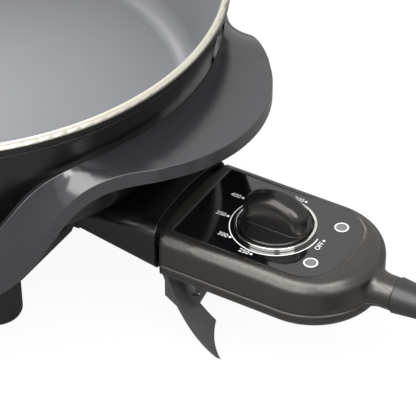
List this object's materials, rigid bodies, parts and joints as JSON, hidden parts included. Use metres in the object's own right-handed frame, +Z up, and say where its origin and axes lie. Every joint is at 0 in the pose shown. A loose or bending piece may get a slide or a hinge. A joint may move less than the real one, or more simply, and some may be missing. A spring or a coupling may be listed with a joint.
{
  "type": "electric skillet",
  "caption": "Round open electric skillet on legs with wing handles, a plug-in temperature control with dial and release lever, and its cord with a plug.",
  "frame": {"origin": "on the pan's vertical axis, on the surface that the four feet stand on", "axes": "+Z up out of the pan, +X from the pan's axis towards the temperature control and its cord, +Y towards the two left legs, which are on the left when looking from the pan towards the control; right-handed"},
  "size_m": [0.5925, 0.34, 0.163],
  "materials": {
    "dark_coating": "satin dark non-stick coating on cast aluminium",
    "black_plastic": "glossy black phenolic moulding",
    "knob_plastic": "glossy black moulding",
    "panel": null,
    "bright_trim": "polished bright trim",
    "steel": "plain bright steel",
    "aluminium": "plain rolled sheet",
    "brass": "plain brass",
    "ceramic": "matte off-white ceramic",
    "lens_plastic": "clear to milky moulded lens",
    "lamp_glass": "clear lamp glass",
    "cord_sheath": "satin black flexible sheath",
    "rubber": "matte black rubber"
  },
  "bodies": {
    "skillet": {"pan": "dark_coating", "heating_element": "steel", "terminal_pins": "steel", "terminal_bushings": "ceramic", "terminal_plate": "steel", "terminal_screws": "steel", "base_tray": "black_plastic", "heat_shield": "aluminium", "front_handle": "black_plastic", "rear_handle": "black_plastic", "terminal_hood": "black_plastic", "leg_front_left": "black_plastic", "leg_front_right": "black_plastic", "leg_rear_left": "black_plastic", "leg_rear_right": "black_plastic", "foot_pads": "rubber", "leg_screws": "steel", "pan_screws": "steel", "handle_screws": "steel", "hood_screws": "steel"},
    "control": {"probe_upper_housing": "black_plastic", "probe_lower_housing": "black_plastic", "control_panel": "panel", "dial_ring": "bright_trim", "shaft_bush": "brass", "thermostat_frame": "steel", "frame_screws": "steel", "upper_contact_blade": "brass", "lower_contact_blade": "brass", "contact_spacers": "ceramic", "stack_rivet": "steel", "sensor_rod": "steel", "receptacle_block": "black_plastic", "receptacles": "brass", "lever_pin": "steel", "lever_spring": "steel", "power_lens": "lens_plastic", "ready_lens": "lens_plastic", "indicator_lamps": "lamp_glass", "power_leads": "cord_sheath", "housing_screws": "steel", "strain_relief": "cord_sheath", "cord_lead": "cord_sheath", "cord_coil": "cord_sheath", "cord_tail": "cord_sheath", "plug_body": "cord_sheath", "plug_prongs": "brass"},
    "dial": {"knob": "knob_plastic", "knob_shaft": "brass", "knob_clip": "steel"},
    "lever": {"release_lever": "black_plastic"}
  },
  "joints": [
    {"name": "control_pull_out", "type": "slide", "parent": "skillet", "child": "control", "axis": [1, 0, 0], "range_m": [0, 0.09]},
    {"name": "dial_turn", "type": "hinge", "parent": "control", "child": "dial", "pos_m": [0.2013, 0, 0.0815], "axis": [0, 0, 1], "range_deg": [-98, 184]},
    {"name": "lever_squeeze", "type": "hinge", "parent": "control", "child": "lever", "pos_m": [0.1615, -0.0132, 0.0355], "axis": [0, -1, 0], "range_deg": [0, 22], "stiffness_Nm_per_rad": 0.15, "springref_deg": -5.73}
  ]
}
